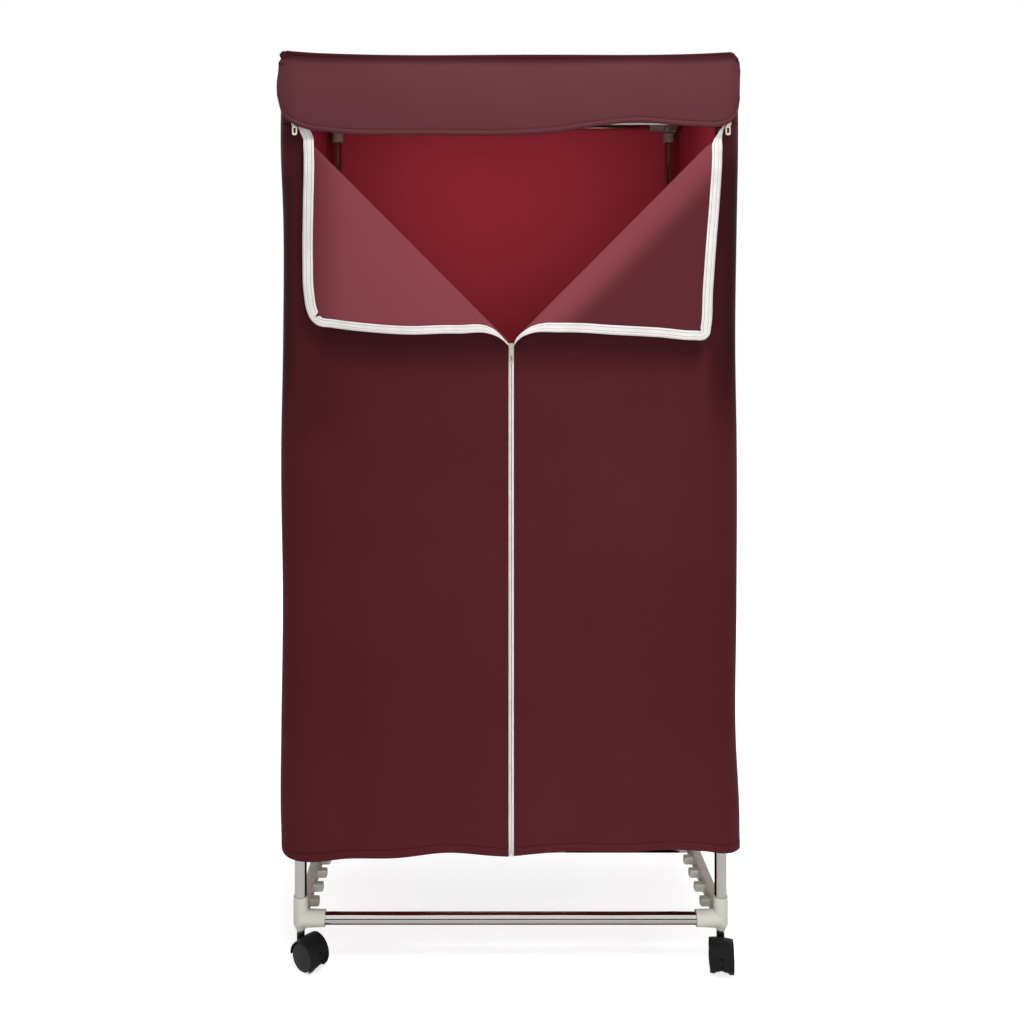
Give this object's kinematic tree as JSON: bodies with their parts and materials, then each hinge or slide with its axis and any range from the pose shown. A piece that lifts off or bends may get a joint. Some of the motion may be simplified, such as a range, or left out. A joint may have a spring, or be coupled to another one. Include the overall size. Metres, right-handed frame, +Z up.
{
  "type": "portable clothes dryer",
  "caption": "Upright fabric clothes dryer on castors: a tube frame with hanging rods under a zipped cloth cover, with folded door corners and a warm air unit at the bottom.",
  "frame": {"origin": "on the floor, midway between the four castor swivel axes", "axes": "+Z up, front with the zipped door towards -Y, +X to the right seen from the front"},
  "size_m": [0.7348, 0.5146, 1.448],
  "materials": {
    "steel_tube": "polished stainless tube",
    "ivory_plastic": "moulded ivory plastic, satin",
    "beige_plastic": "moulded beige plastic, satin",
    "castor_steel": "zinc plated thread",
    "castor_plastic": "black moulded plastic",
    "castor_tread": "black moulded wheel",
    "cover_fabric": "dark maroon coated cloth",
    "zip_tape": "cream woven tape",
    "zip_metal": "nickel plated",
    "heater_shell": "moulded plastic, fine texture",
    "heater_inner": "moulded dark plastic",
    "motor_metal": "painted can",
    "element_metal": "bare fins",
    "control_plastic": "moulded plastic"
  },
  "bodies": {
    "frame": {"lower_post_front_left": "steel_tube", "lower_post_front_right": "steel_tube", "lower_post_rear_left": "steel_tube", "lower_post_rear_right": "steel_tube", "upper_posts": "steel_tube", "bottom_front_tube": "steel_tube", "bottom_rear_tube": "steel_tube", "top_tubes": "steel_tube", "hanging_rods": "steel_tube", "heater_support_rods": "steel_tube", "bottom_corner_front_left": "ivory_plastic", "bottom_corner_front_right": "ivory_plastic", "bottom_corner_rear_left": "ivory_plastic", "bottom_corner_rear_right": "ivory_plastic", "top_corners": "ivory_plastic", "post_couplers": "ivory_plastic", "bottom_rail_left": "beige_plastic", "bottom_rail_right": "beige_plastic", "top_rails": "beige_plastic", "castor_stems": "castor_steel", "cover_top": "cover_fabric", "cover_back": "cover_fabric", "cover_left_side": "cover_fabric", "cover_right_side": "cover_fabric", "cover_header": "cover_fabric", "door_panel_left": "cover_fabric", "door_panel_right": "cover_fabric", "top_piping": "cover_fabric", "centre_zip": "zip_tape", "header_zip": "zip_tape", "heater_base": "heater_shell", "heater_housing": "heater_shell", "outlet_grille": "heater_shell", "fan_duct": "heater_inner", "timer": "heater_inner", "cord_gland": "heater_inner", "fan_motor": "motor_metal", "heating_element": "element_metal"},
    "front_flap": {"front_flap": "cover_fabric"},
    "fold_left": {"door_fold_left": "cover_fabric", "fold_zip_band_left": "zip_tape"},
    "fold_right": {"door_fold_right": "cover_fabric", "fold_zip_band_right": "zip_tape"},
    "centre_slider": {"centre_slider": "zip_metal"},
    "centre_pull": {"centre_pull": "zip_metal"},
    "header_slider_left": {"header_slider_left": "zip_metal"},
    "header_slider_right": {"header_slider_right": "zip_metal"},
    "header_pull_left": {"header_pull_left": "zip_metal"},
    "header_pull_right": {"header_pull_right": "zip_metal"},
    "fan": {"fan": "heater_inner"},
    "timer_knob": {"timer_knob": "control_plastic"},
    "power_rocker": {"power_rocker": "control_plastic"},
    "castor_front_left": {"castor_hood_front_left": "castor_plastic"},
    "wheels_front_left": {"castor_wheels_front_left": "castor_tread"},
    "castor_front_right": {"castor_hood_front_right": "castor_plastic"},
    "wheels_front_right": {"castor_wheels_front_right": "castor_tread"},
    "castor_rear_left": {"castor_hood_rear_left": "castor_plastic"},
    "wheels_rear_left": {"castor_wheels_rear_left": "castor_tread"},
    "castor_rear_right": {"castor_hood_rear_right": "castor_plastic"},
    "wheels_rear_right": {"castor_wheels_rear_right": "castor_tread"}
  },
  "joints": [
    {"name": "castor_swivel_front_left", "type": "hinge", "parent": "frame", "child": "castor_front_left", "pos_m": [-0.336, -0.215, 0.045], "axis": [0, 0, 1], "continuous": true},
    {"name": "wheel_roll_front_left", "type": "hinge", "parent": "castor_front_left", "child": "wheels_front_left", "pos_m": [-0.31956, -0.22807, 0.022], "axis": [0.6225, 0.7826, 0], "continuous": true},
    {"name": "castor_swivel_front_right", "type": "hinge", "parent": "frame", "child": "castor_front_right", "pos_m": [0.336, -0.215, 0.045], "axis": [0, 0, 1], "continuous": true},
    {"name": "wheel_roll_front_right", "type": "hinge", "parent": "castor_front_right", "child": "wheels_front_right", "pos_m": [0.33235, -0.23568, 0.022], "axis": [0.9848, -0.1736, 0], "continuous": true},
    {"name": "castor_swivel_rear_left", "type": "hinge", "parent": "frame", "child": "castor_rear_left", "pos_m": [-0.336, 0.215, 0.045], "axis": [0, 0, 1], "continuous": true},
    {"name": "wheel_roll_rear_left", "type": "hinge", "parent": "castor_rear_left", "child": "wheels_rear_left", "pos_m": [-0.31682, 0.20646, 0.022], "axis": [0.4067, 0.9135, 0], "continuous": true},
    {"name": "castor_swivel_rear_right", "type": "hinge", "parent": "frame", "child": "castor_rear_right", "pos_m": [0.336, 0.215, 0.045], "axis": [0, 0, 1], "continuous": true},
    {"name": "wheel_roll_rear_right", "type": "hinge", "parent": "castor_rear_right", "child": "wheels_rear_right", "pos_m": [0.31729, 0.20547, 0.022], "axis": [0.454, -0.891, 0], "continuous": true},
    {"name": "fold_turn_left", "type": "hinge", "parent": "frame", "child": "fold_left", "pos_m": [-0.16457, -0.2492, 1.152], "axis": [-0.7058, 0, 0.7084], "range_deg": [0, 178]},
    {"name": "fold_turn_right", "type": "hinge", "parent": "frame", "child": "fold_right", "pos_m": [0.16507, -0.2492, 1.1515], "axis": [-0.7058, 0, -0.7084], "range_deg": [0, 178]},
    {"name": "flap_lift", "type": "hinge", "parent": "frame", "child": "front_flap", "pos_m": [0, -0.243, 1.4455], "axis": [-1, 0, 0], "range_deg": [0, 150]},
    {"name": "centre_zip_run", "type": "slide", "parent": "frame", "child": "centre_slider", "axis": [0, 0, -1], "range_m": [0, 0.78]},
    {"name": "header_zip_run_left", "type": "slide", "parent": "frame", "child": "header_slider_left", "axis": [1, 0, 0], "range_m": [0, 0.33]},
    {"name": "header_zip_run_right", "type": "slide", "parent": "frame", "child": "header_slider_right", "axis": [-1, 0, 0], "range_m": [0, 0.33]},
    {"name": "centre_pull_swing", "type": "hinge", "parent": "centre_slider", "child": "centre_pull", "pos_m": [0, -0.24765, 0.985], "axis": [-1, 0, 0], "range_deg": [0, 150]},
    {"name": "header_pull_swing_left", "type": "hinge", "parent": "header_slider_left", "child": "header_pull_left", "pos_m": [-0.34, -0.24765, 1.3361], "axis": [-1, 0, 0], "range_deg": [0, 60]},
    {"name": "header_pull_swing_right", "type": "hinge", "parent": "header_slider_right", "child": "header_pull_right", "pos_m": [0.34, -0.24765, 1.3361], "axis": [-1, 0, 0], "range_deg": [0, 60]},
    {"name": "fan_spin", "type": "hinge", "parent": "frame", "child": "fan", "pos_m": [0, 0.0645, 0.17], "axis": [0, 0, 1], "continuous": true},
    {"name": "timer_turn", "type": "hinge", "parent": "frame", "child": "timer_knob", "pos_m": [0.035, -0.0445, 0.1908], "axis": [0, 1, 0], "range_deg": [0, 300]},
    {"name": "power_rock", "type": "hinge", "parent": "frame", "child": "power_rocker", "pos_m": [-0.035, -0.039, 0.1908], "axis": [-1, 0, 0], "range_deg": [0, 18]}
  ]
}
